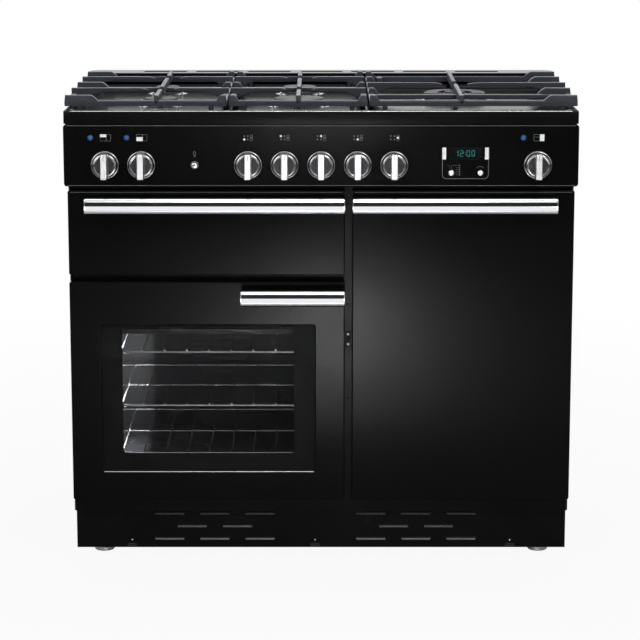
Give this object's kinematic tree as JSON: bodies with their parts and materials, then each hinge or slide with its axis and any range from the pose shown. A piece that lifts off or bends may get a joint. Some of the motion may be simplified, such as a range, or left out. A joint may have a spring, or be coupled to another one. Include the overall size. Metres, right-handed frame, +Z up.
{
  "type": "range cooker with double oven",
  "caption": "Free-standing dual-fuel range cooker with a gas hob, control knobs, side-hung oven doors, a drop-down grill door, wire shelves, feet and rollers.",
  "frame": {"origin": "on the floor under the middle of the cooker's outline, handles included", "axes": "+X to the right as seen from the front, +Y from the doors to the back, +Z up; the front faces -Y"},
  "size_m": [0.994, 0.648, 0.931],
  "materials": {
    "gloss_black": "black gloss enamel",
    "black_sheet": "semi-matt black coated steel sheet",
    "polished_chrome": "polished chrome",
    "knob_silver": "satin silver finish",
    "pan_support_iron": "matt grey-black vitreous enamel on cast iron",
    "grey_enamel": "dark grey speckled oven enamel",
    "element_steel": "heat-tinted steel sheath",
    "zinc_steel": "zinc-coated steel",
    "fan_alloy": "plain aluminised sheet",
    "tap_brass": "turned brass",
    "window_glass": "dark tinted flat glass",
    "burner_alloy": "alloy burner head with a matt black enamelled cap",
    "roller_plastic": "black moulded plastic"
  },
  "bodies": {
    "cabinet": {"side_panel_left": "black_sheet", "side_panel_right": "black_sheet", "back_panel": "zinc_steel", "base_tray": "zinc_steel", "front_frame": "black_sheet", "plinth": "black_sheet", "left_oven_liner": "grey_enamel", "right_oven_liner": "grey_enamel", "grill_liner": "grey_enamel", "left_oven_shelf_1": "polished_chrome", "left_oven_shelf_2": "polished_chrome", "left_oven_shelf_3": "polished_chrome", "right_oven_shelf_1": "polished_chrome", "right_oven_shelf_2": "polished_chrome", "grill_element": "element_steel", "control_panel": "gloss_black", "gas_rail": "zinc_steel", "hob_tray": "gloss_black", "rear_vent_trim": "black_sheet", "burner_left_front": "burner_alloy", "burner_left_rear": "burner_alloy", "burner_centre_front": "burner_alloy", "burner_centre_rear": "burner_alloy", "burner_wok": "burner_alloy"},
    "grill_door": {"grill_door_outer": "gloss_black", "grill_door_inner": "grey_enamel", "grill_door_handle": "polished_chrome"},
    "oven_door": {"oven_door_outer": "gloss_black", "oven_door_window": "window_glass", "oven_door_inner": "grey_enamel", "oven_door_inner_glass": "window_glass", "oven_door_handle": "polished_chrome"},
    "tall_door": {"tall_door_outer": "gloss_black", "tall_door_inner": "grey_enamel", "tall_door_handle": "polished_chrome"},
    "knob_1": {"knob_1": "knob_silver"},
    "knob_2": {"knob_2": "knob_silver"},
    "knob_3": {"knob_3": "knob_silver"},
    "tap_3": {"tap_spindle_3": "tap_brass"},
    "knob_4": {"knob_4": "knob_silver"},
    "tap_4": {"tap_spindle_4": "tap_brass"},
    "knob_5": {"knob_5": "knob_silver"},
    "tap_5": {"tap_spindle_5": "tap_brass"},
    "knob_6": {"knob_6": "knob_silver"},
    "tap_6": {"tap_spindle_6": "tap_brass"},
    "knob_7": {"knob_7": "knob_silver"},
    "tap_7": {"tap_spindle_7": "tap_brass"},
    "knob_8": {"knob_8": "knob_silver"},
    "timer_knob_left": {"timer_knob_left": "knob_silver"},
    "timer_knob_right": {"timer_knob_right": "knob_silver"},
    "light_button": {"light_button": "polished_chrome"},
    "oven_fan_1": {"oven_fan_1": "fan_alloy"},
    "oven_fan_2": {"oven_fan_2": "fan_alloy"},
    "pan_support_left": {"pan_support_left": "pan_support_iron"},
    "pan_support_centre": {"pan_support_centre": "pan_support_iron"},
    "pan_support_right": {"pan_support_right": "pan_support_iron"},
    "front_foot_left": {"front_foot_left": "zinc_steel"},
    "rear_roller_left": {"rear_roller_left": "roller_plastic"},
    "front_foot_right": {"front_foot_right": "zinc_steel"},
    "rear_roller_right": {"rear_roller_right": "roller_plastic"}
  },
  "joints": [
    {"name": "grill_door_hinge", "type": "hinge", "parent": "cabinet", "child": "grill_door", "pos_m": [-0.2225, -0.261, 0.592], "axis": [1, 0, 0], "range_deg": [0, 90]},
    {"name": "oven_door_hinge", "type": "hinge", "parent": "cabinet", "child": "oven_door", "pos_m": [-0.486, -0.252, 0.3507], "axis": [0, 0, -1], "range_deg": [0, 95]},
    {"name": "tall_door_hinge", "type": "hinge", "parent": "cabinet", "child": "tall_door", "pos_m": [0.486, -0.252, 0.4407], "axis": [0, 0, 1], "range_deg": [0, 95]},
    {"name": "knob_1_turn", "type": "hinge", "parent": "cabinet", "child": "knob_1", "pos_m": [-0.417, -0.278, 0.8002], "axis": [0, 1, 0], "range_deg": [0, 270]},
    {"name": "knob_2_turn", "type": "hinge", "parent": "cabinet", "child": "knob_2", "pos_m": [-0.347, -0.278, 0.8002], "axis": [0, 1, 0], "range_deg": [0, 270]},
    {"name": "tap_3_push", "type": "slide", "parent": "cabinet", "child": "tap_3", "axis": [0, 1, 0], "range_m": [0, 0.004], "stiffness_N_per_m": 1500, "springref_m": -0.002},
    {"name": "knob_3_turn", "type": "hinge", "parent": "tap_3", "child": "knob_3", "pos_m": [-0.141, -0.278, 0.8002], "axis": [0, -1, 0], "range_deg": [0, 210]},
    {"name": "tap_4_push", "type": "slide", "parent": "cabinet", "child": "tap_4", "axis": [0, 1, 0], "range_m": [0, 0.004], "stiffness_N_per_m": 1500, "springref_m": -0.002},
    {"name": "knob_4_turn", "type": "hinge", "parent": "tap_4", "child": "knob_4", "pos_m": [-0.0705, -0.278, 0.8002], "axis": [0, -1, 0], "range_deg": [0, 210]},
    {"name": "tap_5_push", "type": "slide", "parent": "cabinet", "child": "tap_5", "axis": [0, 1, 0], "range_m": [0, 0.004], "stiffness_N_per_m": 1500, "springref_m": -0.002},
    {"name": "knob_5_turn", "type": "hinge", "parent": "tap_5", "child": "knob_5", "pos_m": [0, -0.278, 0.8002], "axis": [0, -1, 0], "range_deg": [0, 210]},
    {"name": "tap_6_push", "type": "slide", "parent": "cabinet", "child": "tap_6", "axis": [0, 1, 0], "range_m": [0, 0.004], "stiffness_N_per_m": 1500, "springref_m": -0.002},
    {"name": "knob_6_turn", "type": "hinge", "parent": "tap_6", "child": "knob_6", "pos_m": [0.0705, -0.278, 0.8002], "axis": [0, -1, 0], "range_deg": [0, 210]},
    {"name": "tap_7_push", "type": "slide", "parent": "cabinet", "child": "tap_7", "axis": [0, 1, 0], "range_m": [0, 0.004], "stiffness_N_per_m": 1500, "springref_m": -0.002},
    {"name": "knob_7_turn", "type": "hinge", "parent": "tap_7", "child": "knob_7", "pos_m": [0.141, -0.278, 0.8002], "axis": [0, -1, 0], "range_deg": [0, 210]},
    {"name": "knob_8_turn", "type": "hinge", "parent": "cabinet", "child": "knob_8", "pos_m": [0.418, -0.278, 0.8002], "axis": [0, 1, 0], "range_deg": [0, 270]},
    {"name": "timer_knob_left_turn", "type": "hinge", "parent": "cabinet", "child": "timer_knob_left", "pos_m": [0.251, -0.278, 0.7855], "axis": [0, 1, 0], "range_deg": [-150, 150]},
    {"name": "timer_knob_right_turn", "type": "hinge", "parent": "cabinet", "child": "timer_knob_right", "pos_m": [0.307, -0.278, 0.7855], "axis": [0, 1, 0], "range_deg": [-150, 150]},
    {"name": "light_button_push", "type": "slide", "parent": "cabinet", "child": "light_button", "axis": [0, 1, 0], "range_m": [0, 0.003], "stiffness_N_per_m": 600, "springref_m": -0.002},
    {"name": "oven_fan_1_spin", "type": "hinge", "parent": "cabinet", "child": "oven_fan_1", "pos_m": [-0.2225, 0.2023, 0.351], "axis": [0, 1, 0], "continuous": true},
    {"name": "oven_fan_2_spin", "type": "hinge", "parent": "cabinet", "child": "oven_fan_2", "pos_m": [0.2755, 0.2023, 0.44], "axis": [0, 1, 0], "continuous": true},
    {"name": "pan_support_left_lift", "type": "slide", "parent": "cabinet", "child": "pan_support_left", "axis": [0, 0, 1], "range_m": [0, 0.06]},
    {"name": "pan_support_centre_lift", "type": "slide", "parent": "cabinet", "child": "pan_support_centre", "axis": [0, 0, 1], "range_m": [0, 0.06]},
    {"name": "pan_support_right_lift", "type": "slide", "parent": "cabinet", "child": "pan_support_right", "axis": [0, 0, 1], "range_m": [0, 0.06]},
    {"name": "front_foot_left_adjust", "type": "slide", "parent": "cabinet", "child": "front_foot_left", "axis": [0, 0, -1], "range_m": [0, 0.025]},
    {"name": "rear_roller_left_spin", "type": "hinge", "parent": "cabinet", "child": "rear_roller_left", "pos_m": [-0.44, 0.262, 0.025], "axis": [1, 0, 0], "continuous": true},
    {"name": "front_foot_right_adjust", "type": "slide", "parent": "cabinet", "child": "front_foot_right", "axis": [0, 0, -1], "range_m": [0, 0.025]},
    {"name": "rear_roller_right_spin", "type": "hinge", "parent": "cabinet", "child": "rear_roller_right", "pos_m": [0.44, 0.262, 0.025], "axis": [1, 0, 0], "continuous": true}
  ]
}
